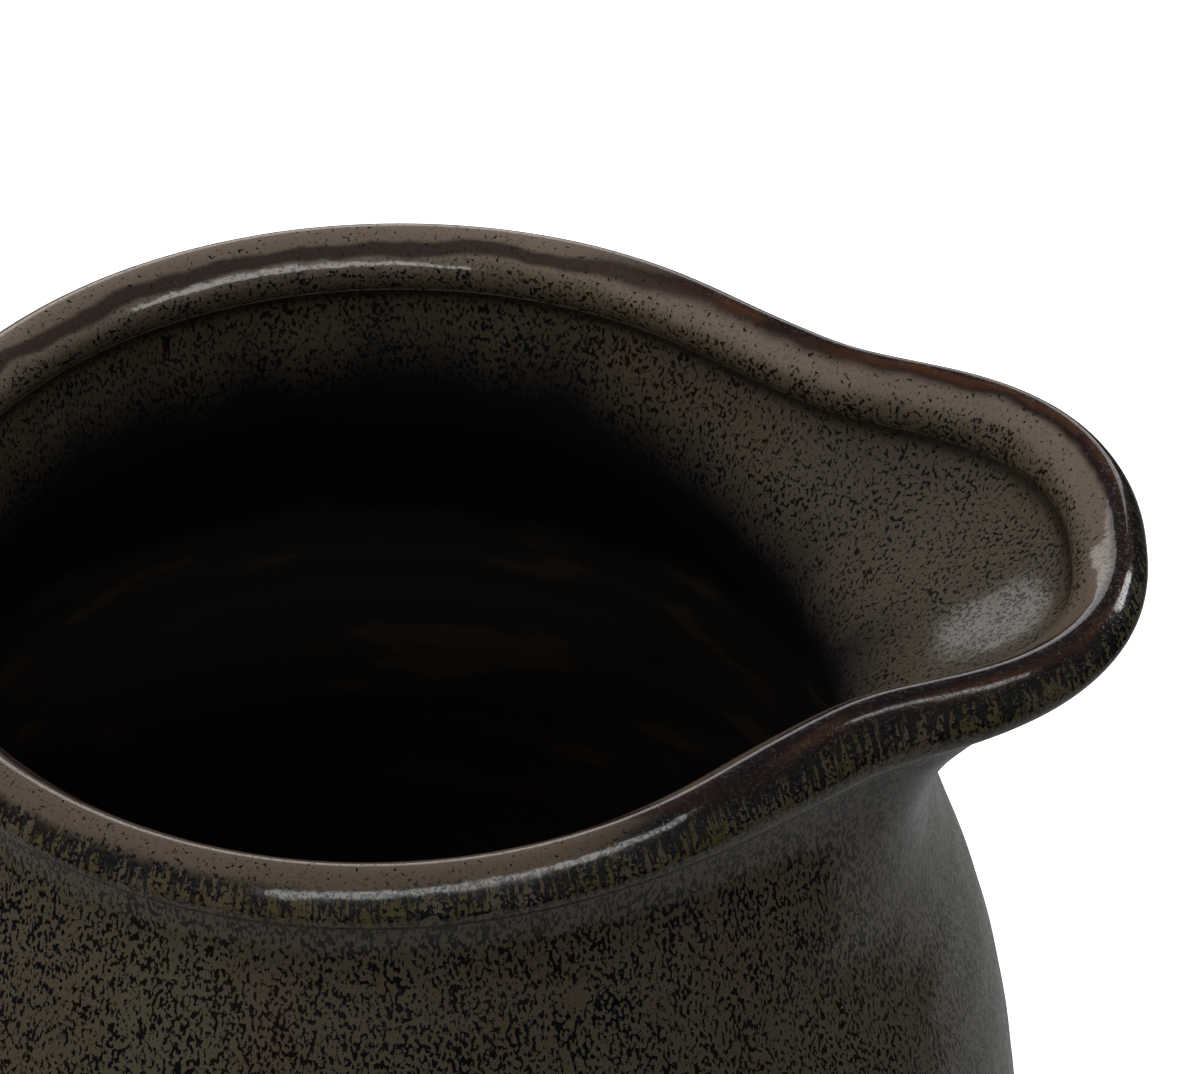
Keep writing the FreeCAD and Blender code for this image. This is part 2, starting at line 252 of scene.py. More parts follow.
strength = reckon(tree, "MULTIPLY", given["Ring Height"], reckon(tree, "ADD", wander, 0.8))
swell = reckon(tree, "MULTIPLY_ADD", given["Wander"], wander, reckon(tree, "MULTIPLY", ridge, strength))
swell = reckon(tree, "SUBTRACT", swell, given["Sink"])
outward = node(tree, "GeometryNodeInputNormal").outputs[0]
offset = node(tree, "ShaderNodeVectorMath", {0: outward}, operation="SCALE")
feed(tree, offset.inputs["Scale"], swell)
moved = node(tree, "GeometryNodeSetPosition", {"Geometry": closed.outputs[0], "Offset": offset.outputs[0]})
smooth = node(tree, "GeometryNodeSetShadeSmooth", {"Geometry": moved.outputs[0]}, domain="FACE")
SHARPEST_SMOOTH = math.radians(55.0)
bend = node(tree, "GeometryNodeInputMeshEdgeAngle").outputs[0]
fold = reckon(tree, "GREATER_THAN", bend, SHARPEST_SMOOTH)
crisp = node(tree, "GeometryNodeSetShadeSmooth",
             {"Geometry": smooth.outputs[0], "Selection": fold, "Shade Smooth": False}, domain="EDGE")
real = node(tree, "GeometryNodeRealizeInstances", {"Geometry": crisp.outputs[0]})
done = node(tree, "GeometryNodeSetMaterial", {"Geometry": real.outputs[0], "Material": given["Glaze"]})
node(tree, "NodeGroupOutput", {"Coat": done.outputs[0]})


HIDDEN_DEPTH = 0.45             # mm


def set_back(run, depth):
    """The same run the other way round, sunk into the clay between its two ends."""
    back = [run[0]]
    for before, (radius, height), after in zip(run, run[1:], run[2:]):
        step = math.dist(before, after)
        wider = after[0] - before[0]
        higher = after[1] - before[1]
        back.append((radius - depth * higher / step, height + depth * wider / step))
    return (back + [run[-1]])[::-1]


def section_curve(name, visible, start, inner_below):
    """Two runs of a coat's section, in mm: the seen face and the face against the clay.

    Each point also keeps how far it is from the rim's crest along the wall, negative outside,
    and whether it belongs to the inside, which is so below a radius.
    """
    hidden = set_back(visible, HIDDEN_DEPTH)
    data = bpy.data.curves.new(name, "CURVE")
    data.dimensions = "3D"
    for run, points in enumerate((visible, hidden)):
        spline = data.splines.new("NURBS")
        spline.points.add(len(points) - 1)
        length = start
        for i, (radius, height) in enumerate(points):
            if i:
                length += math.dist(points[i - 1], points[i])
            spline.points[i].co = (radius * MM, 0.0, height * MM, 1.0)
            spline.points[i].radius = (length if run == 0 else start) * MM + BELOW_ZERO
            spline.points[i].tilt = 1.0 if radius < inner_below else 0.0
        spline.order_u = 4
        spline.use_endpoint_u = True
        spline.resolution_u = 24
    return bpy.data.objects.new(name, data)


def coated(name, section, glaze, **sizes):
    """Spin a section into a closed coat and leave it as a plain mesh."""
    bpy.context.scene.collection.objects.link(section)
    coat = section.modifiers.new(name, "NODES")
    coat.node_group = glaze_coat
    identifiers = {item.name: item.identifier for item in glaze_coat.interface.items_tree
                   if item.in_out == "INPUT"}
    coat[identifiers["Glaze"]] = glaze
    for size, value in sizes.items():
        coat[identifiers[size.replace("_", " ")]] = value
    seen = section.evaluated_get(bpy.context.evaluated_depsgraph_get())
    mesh = bpy.data.meshes.new_from_object(seen)
    mesh.name = name
    bpy.data.objects.remove(section)
    piece = bpy.data.objects.new(name, mesh)
    bpy.context.scene.collection.objects.link(piece)
    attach(piece, "root")
    return piece


def group(name, inputs, outputs):
    """A shader node group with named inputs and outputs."""
    made = bpy.data.node_groups.new(name, "ShaderNodeTree")
    sockets(made, inputs)
    sockets(made, outputs, "OUTPUT")
    return made, node(made, "NodeGroupInput").outputs


def ease(tree, value, low, high, start=0.0, end=1.0):
    """Carry a value smoothly from start to end as it crosses a range."""
    made = node(tree, "ShaderNodeMapRange", {"Value": value, "From Min": low, "From Max": high,
                                             "To Min": start, "To Max": end}, interpolation_type="SMOOTHSTEP")
    return made.outputs["Result"]


def cloud(tree, place, size, detail=2.0, roughness=0.5, distortion=0.0):
    """Soft noise whose features are about one size."""
    scale = reckon(tree, "DIVIDE", 1.0, size)
    made = node(tree, "ShaderNodeTexNoise", {"Vector": place, "Scale": scale, "Detail": detail,
                                             "Roughness": roughness, "Distortion": distortion})
    return made.outputs[0]


SHARE_IN, FIRST_IN, SECOND_IN = 0, 6, 7     # where a mix node takes its share and its colours
COLOR_OUT = 2


def blend(tree, share, first, second):
    """Mix two colours, the second by its share."""
    made = node(tree, "ShaderNodeMix", data_type="RGBA")
    for index, value in ((SHARE_IN, share), (FIRST_IN, first), (SECOND_IN, second)):
        feed(tree, made.inputs[index], value)
    return made.outputs[COLOR_OUT]


def shifted(tree, place, offset, stretch=(1.0, 1.0, 1.0)):
    """The same place, stretched and moved, for a pattern of its own."""
    made = node(tree, "ShaderNodeVectorMath", {0: place, 1: stretch, 2: offset}, operation="MULTIPLY_ADD")
    return made.outputs[0]


def use(tree, shared, **links):
    """Place a shared group and feed its inputs."""
    made = node(tree, "ShaderNodeGroup", node_tree=shared)
    for name, value in links.items():
        feed(tree, made.inputs[name.replace("_", " ")], value)
    return made.outputs


COAT_RADIUS = 30.0 * MM

specks, given = group(
    "specks",
    [("Place", "Vector", None), ("Speck Size", "Float", 0.45 * MM), ("Stretch", "Float", 0.55),
     ("Cover", "Float", 0.4), ("Brown", "Color", (0.016, 0.011, 0.008, 1.0)),
     ("Blue", "Color", (0.009, 0.010, 0.015, 1.0)), ("Glaze", "Color", (0.1, 0.085, 0.065, 1.0))],
    [("Color", "Color", None), ("Specks", "Float", None)],
)
tree = specks
upright = node(tree, "ShaderNodeCombineXYZ", {"X": 1.0, "Y": 1.0, "Z": given["Stretch"]}).outputs[0]
place = node(tree, "ShaderNodeVectorMath", {0: given["Place"], 1: upright}, operation="MULTIPLY").outputs[0]
crowd = cloud(tree, shifted(tree, place, (0.3, 0.1, 0.0)),
              reckon(tree, "MULTIPLY", given["Speck Size"], 10.0), detail=1.0)
crowd = ease(tree, crowd, 0.3, 0.7, 0.75, 1.25)
grain = cloud(tree, place, reckon(tree, "MULTIPLY", given["Speck Size"], 1.9), detail=2.0,
              roughness=0.6, distortion=0.6)
near = reckon(tree, "ABSOLUTE", reckon(tree, "SUBTRACT", grain, 0.5))
reach = reckon(tree, "MULTIPLY", reckon(tree, "MULTIPLY", given["Cover"], crowd), 0.075)
worms = ease(tree, reckon(tree, "DIVIDE", near, reach), 1.0, 0.7)
dots = cloud(tree, shifted(tree, place, (0.0, 0.2, 0.5)),
             reckon(tree, "MULTIPLY", given["Speck Size"], 1.25), detail=1.5)
level = reckon(tree, "MULTIPLY_ADD", reckon(tree, "MULTIPLY", given["Cover"], crowd), -0.27, 0.69)
spots = ease(tree, reckon(tree, "SUBTRACT", dots, level), 0.0, 0.03)
broken = reckon(tree, "MULTIPLY", worms, ease(tree, dots, 0.44, 0.52))
both = reckon(tree, "MAXIMUM", broken, spots)
hue = ease(tree, cloud(tree, given["Place"], 9.0 * MM, detail=1.0), 0.4, 0.6)
dark = blend(tree, hue, given["Brown"], given["Blue"])
node(tree, "NodeGroupOutput", {"Color": blend(tree, both, given["Glaze"], dark), "Specks": both})

streaks, given = group(
    "streaks",
    [("Flow", "Vector", None), ("Width", "Float", 0.5 * MM), ("Length", "Float", 6.0),
     ("Cover", "Float", 0.5), ("Patch Size", "Float", 3.0 * MM), ("Sway Size", "Float", 6.0 * MM)],
    [("Streaks", "Float", None), ("Patches", "Float", None), ("Sway", "Float", None)],
)
tree = streaks
flat = shifted(tree, given["Flow"], (0.0, 0.0, 0.0), (1.0, 1.0, 0.0))
outward = node(tree, "ShaderNodeVectorMath", {0: flat}, operation="NORMALIZE").outputs[0]
outward = node(tree, "ShaderNodeVectorMath", {0: outward, "Scale": COAT_RADIUS}, operation="SCALE").outputs[0]
along = node(tree, "ShaderNodeSeparateXYZ", {"Vector": given["Flow"]}).outputs["Z"]
run = node(tree, "ShaderNodeCombineXYZ", {"Z": reckon(tree, "DIVIDE", along, given["Length"])}).outputs[0]
unrolled = node(tree, "ShaderNodeVectorMath", {0: outward, 1: run}, operation="ADD").outputs[0]
hair = cloud(tree, unrolled, given["Width"], detail=3.0, roughness=0.6)
level = reckon(tree, "MULTIPLY_ADD", given["Cover"], -0.3, 0.65)
patches = cloud(tree, shifted(tree, unrolled, (0.0, 0.1, 0.2)), given["Patch Size"], detail=3.0)
node(tree, "NodeGroupOutput", {
    "Streaks": ease(tree, reckon(tree, "SUBTRACT", hair, level), -0.03, 0.06),
    "Patches": ease(tree, patches, 0.4, 0.6),
    "Sway": reckon(tree, "SUBTRACT", cloud(tree, unrolled, given["Sway Size"], detail=3.0), 0.5),
})

fired_surface, given = group(
    "fired surface",
    [("Place", "Vector", None), ("Specks", "Float", 0.0), ("Dimple Size", "Float", 1.6 * MM),
     ("Shine", "Float", 0.14), ("Dulling", "Float", 0.12)],
    [("Roughness", "Float", None), ("Height", "Float", None)],
)
tree = fired_surface
dimples = cloud(tree, given["Place"], given["Dimple Size"], detail=2.0)
smears = cloud(tree, shifted(tree, given["Place"], (0.4, 0.4, 0.0)), 6.0 * MM, detail=2.0)
smears = ease(tree, smears, 0.35, 0.7)
dull = reckon(tree, "MULTIPLY", given["Dulling"],
              reckon(tree, "MULTIPLY_ADD", given["Specks"], 0.7, reckon(tree, "MULTIPLY", smears, 0.6)))
node(tree, "NodeGroupOutput", {
    "Roughness": reckon(tree, "ADD", given["Shine"], dull),
    "Height": reckon(tree, "MULTIPLY_ADD", given["Specks"], 0.25, dimples),
})


def glaze_material(name):
    """An empty material with its surface, and the places its patterns are measured from."""
    made = bpy.data.materials.new(name)
    made.use_nodes = True
    inner_tree = made.node_tree
    surface = inner_tree.nodes["Principled BSDF"]
    place = node(inner_tree, "ShaderNodeTexCoord").outputs["Object"]
    flow = node(inner_tree, "ShaderNodeAttribute", attribute_name="flow").outputs["Vector"]
    return made, inner_tree, surface, place, flow


def finish_glaze(tree, surface, place, color, dark, shine, dulling, bump):
    """Join a glaze's colour, sheen and dimples to its surface."""
    sheen = use(tree, fired_surface, Place=place, Specks=dark, Shine=shine, Dulling=dulling)
    relief = node(tree, "ShaderNodeBump", {"Height": sheen["Height"], "Strength": 1.0, "Distance": bump})
    feed(tree, surface.inputs["Base Color"], color)
    feed(tree, surface.inputs["Roughness"], sheen["Roughness"])
    feed(tree, surface.inputs["Normal"], relief.outputs[0])
    feed(tree, surface.inputs["IOR"], 1.5)


PALE = (0.084, 0.072, 0.047, 1.0)
WARM = (0.078, 0.061, 0.040, 1.0)
BROWN = (0.009, 0.005, 0.004, 1.0)
BLUE_BLACK = (0.004, 0.005, 0.007, 1.0)
OLIVE = (0.066, 0.052, 0.022, 1.0)

wall_glaze, tree, surface, place, flow = glaze_material("wall glaze")
drift = ease(tree, cloud(tree, shifted(tree, place, (0.1, 0.0, 0.0), (1.0, 1.0, 0.5)), 14.0 * MM), 0.38, 0.62)
clear = blend(tree, drift, PALE, WARM)
run = use(tree, streaks, Flow=flow, Width=5.5 * MM, Length=9.0, Cover=0.1)
clear = blend(tree, reckon(tree, "MULTIPLY", run["Streaks"], 0.7), clear, OLIVE)
speckled = use(tree, specks, Place=place, Speck_Size=0.19 * MM, Stretch=0.5, Cover=0.56,
               Brown=BROWN, Blue=BLUE_BLACK, Glaze=clear)
drips = use(tree, streaks, Flow=flow, Width=1.1 * MM, Length=5.0, Cover=-0.25)["Streaks"]
color = blend(tree, reckon(tree, "MULTIPLY", drips, 0.75), speckled["Color"], BROWN)
finish_glaze(tree, surface, place, color, speckled["Specks"], shine=0.11, dulling=0.10, bump=0.04 * MM)

NOWHERE = 0.0                   # mm, smaller than any radius of the coat
outside_run = [
    (27.3, 9.6), (27.75, 9.25), (28.6, 9.6), (29.6, 11.0), (31.2, 13.0), (37.2, 27.0), (42.2, 48.0),
    (43.2, 72.0), (40.6, 93.0), (34.3, 106.6), (32.4, 115.0), (30.1, 119.6), (29.9, 122.4), (30.35, 123.9),
]
outside_section = section_curve("outside section", outside_run, start=-127.9, inner_below=NOWHERE)
outer = coated("glaze_outside", outside_section, wall_glaze, Steps_Round=400, Visible_Rows=150,
               Hidden_Rows=90, Ring_Height=0.02 * MM, Wander=0.12 * MM)
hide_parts("outer_glaze")


# --- Rim glaze -------------------------------------------------------------------------------
# The same glaze over the rolled rim. It ran thin on the crest and burnt brown there, with amber
# along the lip, and gathered below it in dark, furry streaks.

PINKISH = (0.092, 0.068, 0.050, 1.0)
PINK_WITH_FAR_SHEEN = (0.145, 0.112, 0.086, 1.0)
VIOLET_BROWN = (0.012, 0.006, 0.006, 1.0)
AMBER = (0.062, 0.026, 0.012, 1.0)
rim_glaze, tree, surface, place, flow = glaze_material("rim glaze")
parts = node(tree, "ShaderNodeSeparateXYZ", {"Vector": flow}).outputs
along = parts["Z"]
from_lip = reckon(tree, "DIVIDE", parts["X"], COAT_RADIUS)
wobble = reckon(tree, "MULTIPLY_ADD", cloud(tree, place, 5.0 * MM, detail=3.0), 1.7 * MM, -0.85 * MM)
lip = ease(tree, from_lip, 0.3, 0.75)
# Far half of the roll: painted reflection of the white backdrop, as a paler top that reaches further down the
# outer side. The same mask also moves the crest and the amber.
behind = ease(tree, parts["Y"], -10.0 * MM, 15.0 * MM)
edge = reckon(tree, "ADD", along, wobble)
outer_edge = reckon(tree, "MULTIPLY_ADD", lip, -1.6 * MM, edge)
outer_edge = reckon(tree, "MULTIPLY_ADD", behind, 1.8 * MM, outer_edge)
outer_face = ease(tree, outer_edge, -1.2 * MM, -2.2 * MM)
inner_face = ease(tree, edge, 2.2 * MM, 3.4 * MM)
lower_edge_and_sheen = ease(tree, edge, -4.4 * MM, -5.8 * MM)
thick = ease(tree, edge, -5.0 * MM, -0.8 * MM, 0.05, 0.85)
fur = use(tree, streaks, Flow=flow, Width=0.3 * MM, Length=7.0, Cover=thick)
# Painted reflection: the far half's top gets a lighter pink than the near half.
top_with_far_sheen = blend(tree, behind, PINKISH, PINK_WITH_FAR_SHEEN)
ground = blend(tree, outer_face, top_with_far_sheen, blend(tree, fur["Patches"], OLIVE, WARM))
# The roll's lower edge blends into the wall's own pale glaze colour, which here also stands in as a painted
# reflection of the white table below.
ground = blend(tree, lower_edge_and_sheen, ground, PALE)
ground = blend(tree, inner_face, ground, WARM)
scorched = reckon(tree, "MULTIPLY", lip, ease(tree, edge, 1.2 * MM, 0.6 * MM))
scorched = reckon(tree, "MULTIPLY", scorched, ease(tree, edge, -2.0 * MM, -0.4 * MM))
ground = blend(tree, scorched, ground, VIOLET_BROWN)
cover = reckon(tree, "MULTIPLY_ADD", outer_face, 0.42, reckon(tree, "MULTIPLY_ADD", inner_face, 0.3, 0.12))
speckled = use(tree, specks, Place=place, Speck_Size=0.2 * MM, Stretch=0.8, Cover=cover,
               Brown=BROWN, Blue=BLUE_BLACK, Glaze=ground)
hairs = reckon(tree, "MULTIPLY", fur["Streaks"], reckon(tree, "MULTIPLY", outer_face, 0.9))
color = blend(tree, hairs, speckled["Color"], BLUE_BLACK)
forward = reckon(tree, "MULTIPLY_ADD", behind, 1.5 * MM, -2.7 * MM)
crest = reckon(tree, "MULTIPLY_ADD", lip, forward, 1.7 * MM)
ridge = reckon(tree, "ABSOLUTE", reckon(tree, "SUBTRACT", edge, crest))
band = ease(tree, ridge, reckon(tree, "MULTIPLY_ADD", lip, 0.55 * MM, 0.7 * MM), 0.3 * MM)
color = blend(tree, reckon(tree, "MULTIPLY", band, 0.8), color, VIOLET_BROWN)
patchy = ease(tree, cloud(tree, shifted(tree, place, (0.2, 0.0, 0.1)), 6.0 * MM, detail=4.0), 0.3, 0.65)
core = reckon(tree, "MULTIPLY", ease(tree, ridge, 0.65 * MM, 0.05 * MM), patchy)
core = reckon(tree, "MULTIPLY", core, lip)
core = reckon(tree, "MULTIPLY", core, reckon(tree, "MULTIPLY_ADD", behind, 0.3, 0.6))
color = blend(tree, core, color, AMBER)
ticks = use(tree, streaks, Flow=flow, Width=0.4 * MM, Length=6.0, Cover=0.3)["Streaks"]
low_inside = reckon(tree, "MULTIPLY", lip, ease(tree, edge, 3.6 * MM, 4.6 * MM))
ticks = reckon(tree, "MULTIPLY", ticks, low_inside)
# Painted shade: brown darkening in the crease at the inner foot of the roll.
crease = ease(tree, along, 4.7 * MM, 5.4 * MM, 0.0, 0.6)
color = blend(tree, reckon(tree, "MAXIMUM", ticks, crease), color, BROWN)
finish_glaze(tree, surface, place, color, speckled["Specks"], shine=0.08, dulling=0.07, bump=0.03 * MM)

rim_run = [
    (30.35, 123.9), (31.0, 124.35), (32.0, 124.5), (32.6, 125.7), (32.3, 126.5), (30.8, 128.4),
    (29.7, 128.4), (28.1, 126.6), (27.8, 126.0), (27.9, 125.0), (28.4, 124.4),
]
CREST_RADIUS = 30.3             # mm
rim_section = section_curve("rim section", rim_run, start=-7.0, inner_below=CREST_RADIUS)
rim = coated("glaze_rim", rim_section, rim_glaze, Steps_Round=600, Visible_Rows=56, Hidden_Rows=32,
             Wander=0.06 * MM, Wander_Size=12 * MM)
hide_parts("rim_glaze")


# --- Inside glaze ----------------------------------------------------------------------------
# The same glaze swilled round the inside and out over the pouring channel. It is pale and thinly
# specked on the channel, darker with painted shade on the wall inside the mouth, painted blue-black
# shade from the neck down, and deeper still a painted grey reflection under brown swirls.

DEEP_SHADE = (0.004, 0.004, 0.006, 1.0)
SHADED_THROAT = (0.052, 0.041, 0.025, 1.0)
TROUGH = (0.062, 0.050, 0.035, 1.0)
BOTTOM_SHEEN_GREY = (0.022, 0.021, 0.020, 1.0)
DEEP_STREAK = (0.050, 0.034, 0.023, 1.0)
inside_glaze, tree, surface, place, flow = glaze_material("inside glaze")
parts = node(tree, "ShaderNodeSeparateXYZ", {"Vector": flow}).outputs
along = parts["Z"]
lip = ease(tree, reckon(tree, "DIVIDE", parts["X"], COAT_RADIUS), 0.35, 0.85)
# Away from the lip the wall inside the mouth takes the darker throat colour, which is painted shade, and more
# specks.
clear = blend(tree, lip, SHADED_THROAT, TROUGH)
cover = reckon(tree, "MULTIPLY_ADD", lip, -0.16, 0.5)
speckled = use(tree, specks, Place=place, Speck_Size=0.2 * MM, Stretch=0.6, Cover=cover,
               Brown=BROWN, Blue=BLUE_BLACK, Glaze=clear)
run = use(tree, streaks, Flow=flow, Length=3.0)
# Painted shade: brown darkening in the crease under the roll, at the top of the inside coat.
crease = ease(tree, along, 6.6 * MM, 5.5 * MM, 0.0, 0.85)
color = blend(tree, crease, speckled["Color"], BROWN)
# Painted shade: from the neck down the wall fades to near-black blue, starting lower on the channel.
wobble = reckon(tree, "MULTIPLY", run["Sway"], 6.0 * MM)
sunk = reckon(tree, "MULTIPLY_ADD", lip, -3.5 * MM, reckon(tree, "ADD", along, wobble))
deep_shade_mask = ease(tree, sunk, 6.0 * MM, 13.5 * MM)
swirls = shifted(tree, place, (0.0, 0.0, 0.3), (0.35, 1.0, 1.0))
rust = ease(tree, cloud(tree, swirls, 5.0 * MM, detail=3.0), 0.56, 0.66)
# Painted reflection: further down, the near-black turns grey for light reflected on the bottom, under brown
# swirls.
sunk_far = ease(tree, reckon(tree, "MULTIPLY_ADD", wobble, 1.5, along), 26.0 * MM, 32.0 * MM)
below = blend(tree, sunk_far, DEEP_SHADE, blend(tree, rust, BOTTOM_SHEEN_GREY, DEEP_STREAK))
color = blend(tree, reckon(tree, "MULTIPLY", deep_shade_mask, 0.97), color, below)
finish_glaze(tree, surface, place, color, speckled["Specks"], shine=0.11, dulling=0.10, bump=0.03 * MM)

inside_run = [
    (28.4, 124.4), (28.55, 123.9), (28.2, 122.7), (27.7, 121.7), (26.5, 118.2), (26.8, 114.0),
    (30.0, 107.0), (36.4, 94.0), (39.4, 76.0), (38.8, 54.0), (34.8, 33.0), (28.4, 18.6), (19.0, 11.6),
    (12.0, 10.3), (6.0, 10.3), (0.0, 10.3),
]
EVERYWHERE = 99.0               # mm, larger than any radius of the coat
inside_section = section_curve("inside section", inside_run, start=5.4, inner_below=EVERYWHERE)
inner = coated("glaze_inside", inside_section, inside_glaze, Steps_Round=400, Visible_Rows=155,
               Hidden_Rows=90, Ring_Height=0.05 * MM, Wander=0.1 * MM, Sink=0.0)
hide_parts("inner_glaze")


# --- Clay body -------------------------------------------------------------------------------
# Buff stoneware, thrown and luted: the foot ring, floor disc, walls, neck, lip and rolled rim.
# It shows bare on the foot ring and in the narrow band below the glaze line. A thin line of it
# also shows in the crease under the rolled rim, which is a fault.

clay = bpy.data.materials.new("bare clay")
clay.use_nodes = True
tree = clay.node_tree
surface = tree.nodes["Principled BSDF"]
place = node(tree, "ShaderNodeTexCoord").outputs["Object"]
BISCUIT = (0.250, 0.165, 0.100, 1.0)
TOASTED = (0.150, 0.080, 0.042, 1.0)
DARK_GROG = (0.05, 0.03, 0.02, 1.0)
PALE_GROG = (0.4, 0.33, 0.25, 1.0)
toast = ease(tree, cloud(tree, place, 9.0 * MM, detail=4.0, roughness=0.6), 0.35, 0.65)
grog = use(tree, specks, Place=place, Speck_Size=0.5 * MM, Stretch=1.0, Cover=0.14,
           Brown=DARK_GROG, Blue=PALE_GROG,
           Glaze=blend(tree, toast, BISCUIT, TOASTED))
height = node(tree, "ShaderNodeSeparateXYZ", {"Vector": place}).outputs["Z"]
TURNING_PITCH = 0.9 * MM
turning = reckon(tree, "SINE", reckon(tree, "MULTIPLY", height, 2.0 * math.pi / TURNING_PITCH))
grit = cloud(tree, place, 0.35 * MM, detail=3.0, roughness=0.7)
relief = node(tree, "ShaderNodeBump", {"Height": reckon(tree, "MULTIPLY_ADD", turning, 0.15, grit),
                                       "Strength": 1.0, "Distance": 0.12 * MM})
feed(tree, surface.inputs["Base Color"], grog["Color"])
feed(tree, surface.inputs["Roughness"], ease(tree, grit, 0.3, 0.7, 0.62, 0.85))
feed(tree, surface.inputs["Normal"], relief.outputs[0])
for name in ("foot_ring", "base_disc", "belly_wall", "shoulder_wall", "neck_collar", "pouring_lip",
             "rim_roll"):
    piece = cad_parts[name]
    piece.data.materials.clear()
    piece.data.materials.append(clay)


# --- Foot glaze ------------------------------------------------------------------------------
# A thin pool of the same glaze in the recess of the foot. It gathers darker and greener at its
# edge, where it runs against the ring.

foot_glaze = bpy.data.materials.new("foot glaze")
foot_glaze.use_nodes = True
tree = foot_glaze.node_tree
surface = tree.nodes["Principled BSDF"]
place = node(tree, "ShaderNodeTexCoord").outputs["Object"]
from_axis = node(tree, "ShaderNodeVectorMath", {0: shifted(tree, place, (0.0, 0.0, 0.0), (1.0, 1.0, 0.0))},
                 operation="LENGTH").outputs["Value"]
drift = ease(tree, cloud(tree, place, 10.0 * MM), 0.38, 0.62)
pooled = ease(tree, from_axis, 15.0 * MM, 21.0 * MM)
speckled = use(tree, specks, Place=place, Speck_Size=0.3 * MM, Stretch=1.0, Cover=0.4,
               Brown=BROWN, Blue=BLUE_BLACK,
               Glaze=blend(tree, pooled, blend(tree, drift, PALE, WARM), OLIVE))
finish_glaze(tree, surface, place, speckled["Color"], speckled["Specks"],
             shine=0.2, dulling=0.2, bump=0.05 * MM)
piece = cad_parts["base_glaze"]
piece.data.materials.clear()
piece.data.materials.append(foot_glaze)


# --- Table and studio light ------------------------------------------------------------------
# A plain sheet, clean white to the camera, under soft lamps. It throws little light up at the
# glaze, and only the part of it close to the foot shows in the glaze's shine.

floor_mesh = bpy.data.meshes.new("table")
HALF = 3.0                      # metres
corners = [(-HALF, -HALF, 0), (HALF, -HALF, 0), (HALF, HALF, 0), (-HALF, HALF, 0)]
floor_mesh.from_pydata(corners, [], [(0, 1, 2, 3)])
floor = bpy.data.objects.new("table", floor_mesh)
bpy.context.scene.collection.objects.link(floor)
sheet = bpy.data.materials.new("white sheet")
sheet.use_nodes = True
tree = sheet.node_tree
surface = tree.nodes["Principled BSDF"]
feed(tree, surface.inputs["Roughness"], 0.9)
place = node(tree, "ShaderNodeTexCoord").outputs["Object"]
tooth = cloud(tree, place, 8.0 * MM, detail=3.0)
WHITE = (1.0, 1.0, 1.0, 1.0)
PAPER = (0.78, 0.78, 0.78, 1.0)
PAPER_TOOTH = (0.82, 0.82, 0.82, 1.0)
feed(tree, surface.inputs["Base Color"], blend(tree, tooth, PAPER, PAPER_TOOTH))
seen = node(tree, "ShaderNodeLightPath").outputs["Is Camera Ray"]
feed(tree, surface.inputs["Emission Color"], WHITE)
SHEET_LIGHT = 0.8
feed(tree, surface.inputs["Emission Strength"], reckon(tree, "MULTIPLY", seen, SHEET_LIGHT))
# The sheet near the foot glows only in the glaze's shine: a painted reflection, lit by no lamp.
mirrored = node(tree, "ShaderNodeLightPath").outputs["Is Glossy Ray"]
away = node(tree, "ShaderNodeVectorMath", {0: place}, operation="LENGTH").outputs["Value"]
near = ease(tree, away, 260.0 * MM, 215.0 * MM)
LIGHT_IN_SHINE = 0.24
DIM = (0.1, 0.1, 0.1, 1.0)
glow = node(tree, "ShaderNodeEmission", {"Strength": reckon(tree, "MULTIPLY", near, LIGHT_IN_SHINE)})
shade = node(tree, "ShaderNodeBsdfDiffuse", {"Color": DIM})
shade = node(tree, "ShaderNodeMixShader", {"Fac": mirrored, 1: shade.outputs[0], 2: glow.outputs[0]})
mixed = node(tree, "ShaderNodeMixShader", {"Fac": seen, 1: shade.outputs[0], 2: surface.outputs[0]})
tree.links.new(mixed.outputs[0], tree.nodes["Material Output"].inputs["Surface"])
floor_mesh.materials.append(sheet)

world = bpy.data.worlds.new("studio")
bpy.context.scene.world = world
world.use_nodes = True
tree = world.node_tree
background = tree.nodes["Background"]
rays = node(tree, "ShaderNodeLightPath").outputs
ROOM_LIGHT = 0.14
LESS_IN_SHINE = -0.08
MORE_TO_CAMERA = 0.86
dimmed = reckon(tree, "MULTIPLY_ADD", rays["Is Glossy Ray"], LESS_IN_SHINE, ROOM_LIGHT)
strength = reckon(tree, "MULTIPLY_ADD", rays["Is Camera Ray"], MORE_TO_CAMERA, dimmed)
feed(tree, background.inputs["Color"], WHITE)
feed(tree, background.inputs["Strength"], strength)

CENTRE = Vector((0.0, 0.0, 110.0)) * MM


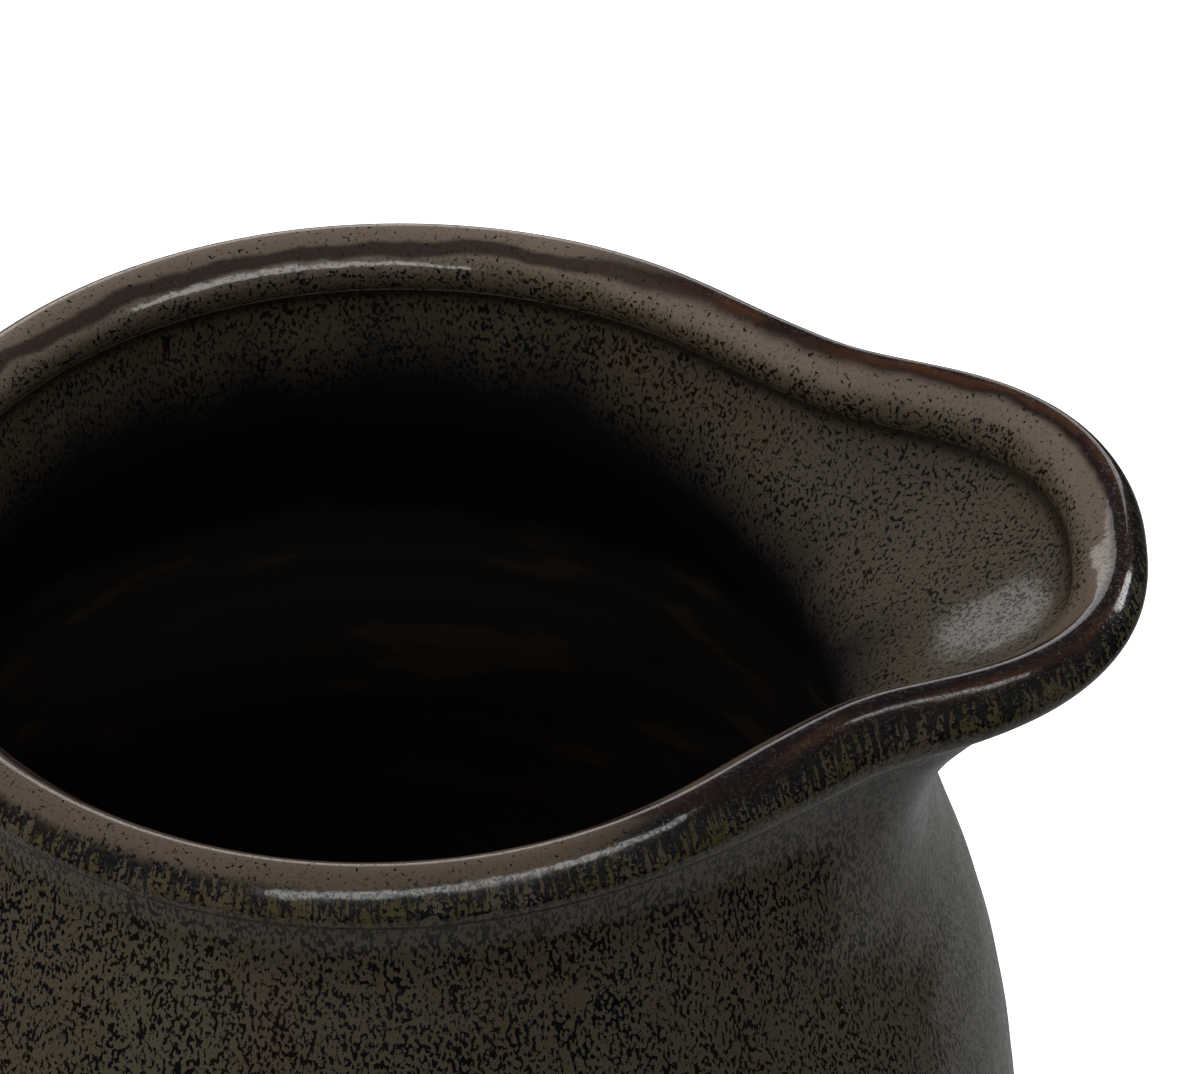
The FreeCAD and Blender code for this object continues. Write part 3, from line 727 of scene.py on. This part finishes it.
def softbox(name, azimuth, elevation, distance, width, height, power, mirrored=True):
    """A soft white lamp aimed a little below the mouth. The glaze shows its shape if mirrored."""
    lamp = bpy.data.lights.new(name, "AREA")
    lamp.shape = "RECTANGLE"
    lamp.size = width
    lamp.size_y = height
    lamp.energy = power
    stand = bpy.data.objects.new(name, lamp)
    bpy.context.scene.collection.objects.link(stand)
    around = math.radians(azimuth)
    upward = math.radians(elevation)
    away = Vector((math.cos(around) * math.cos(upward), math.sin(around) * math.cos(upward),
                   math.sin(upward)))
    stand.location = CENTRE + away * distance
    stand.rotation_euler = away.to_track_quat("Z", "Y").to_euler()
    stand.visible_glossy = mirrored


softbox("overhead", azimuth=120.0, elevation=70.0, distance=1.3, width=2.4, height=2.0,
        power=13.0, mirrored=False)
softbox("left", azimuth=180.0, elevation=35.0, distance=1.1, width=1.8, height=1.5,
        power=12.0, mirrored=False)
softbox("right", azimuth=25.0, elevation=10.0, distance=1.1, width=0.35, height=0.3, power=2.4)
softbox("front strip", azimuth=-72.0, elevation=37.0, distance=1.1, width=1.5, height=0.12, power=2.8)
softbox("back", azimuth=90.0, elevation=14.0, distance=1.3, width=1.9, height=0.8, power=9.0)


# --- Camera ----------------------------------------------------------------------------------
# A long lens over the mouth, looking down across it from the side, with the pouring lip to the
# right. It is rolled a little about its line of sight.

ELEVATION = math.radians(41.45)
TURN = math.radians(1.38)
ROLL = math.radians(1.96)
DISTANCE = 0.400                # metres
SENSOR_WIDTH = 36.0             # mm
FOCAL_LENGTH = 195.678392       # mm
aim = Vector((13.02, 3.04, 126.0)) * MM
forward = Vector((0.0, math.cos(ELEVATION), -math.sin(ELEVATION)))
level_up = Vector((0.0, math.sin(ELEVATION), math.cos(ELEVATION)))
level_right = Vector((1.0, 0.0, 0.0))
right = level_right * math.cos(ROLL) + level_up * math.sin(ROLL)
up = level_up * math.cos(ROLL) - level_right * math.sin(ROLL)
axes = Matrix((right, up, -forward)).transposed().to_4x4()
place = Matrix.Translation(aim - forward * DISTANCE) @ axes
lens = bpy.data.cameras.new("camera")
lens.sensor_width = SENSOR_WIDTH
lens.lens = FOCAL_LENGTH
camera = bpy.data.objects.new("camera", lens)
bpy.context.scene.collection.objects.link(camera)
camera.matrix_world = Matrix.Rotation(-TURN, 4, "Z") @ place
bpy.context.scene.camera = camera
bpy.context.scene.view_settings.view_transform = "Standard"
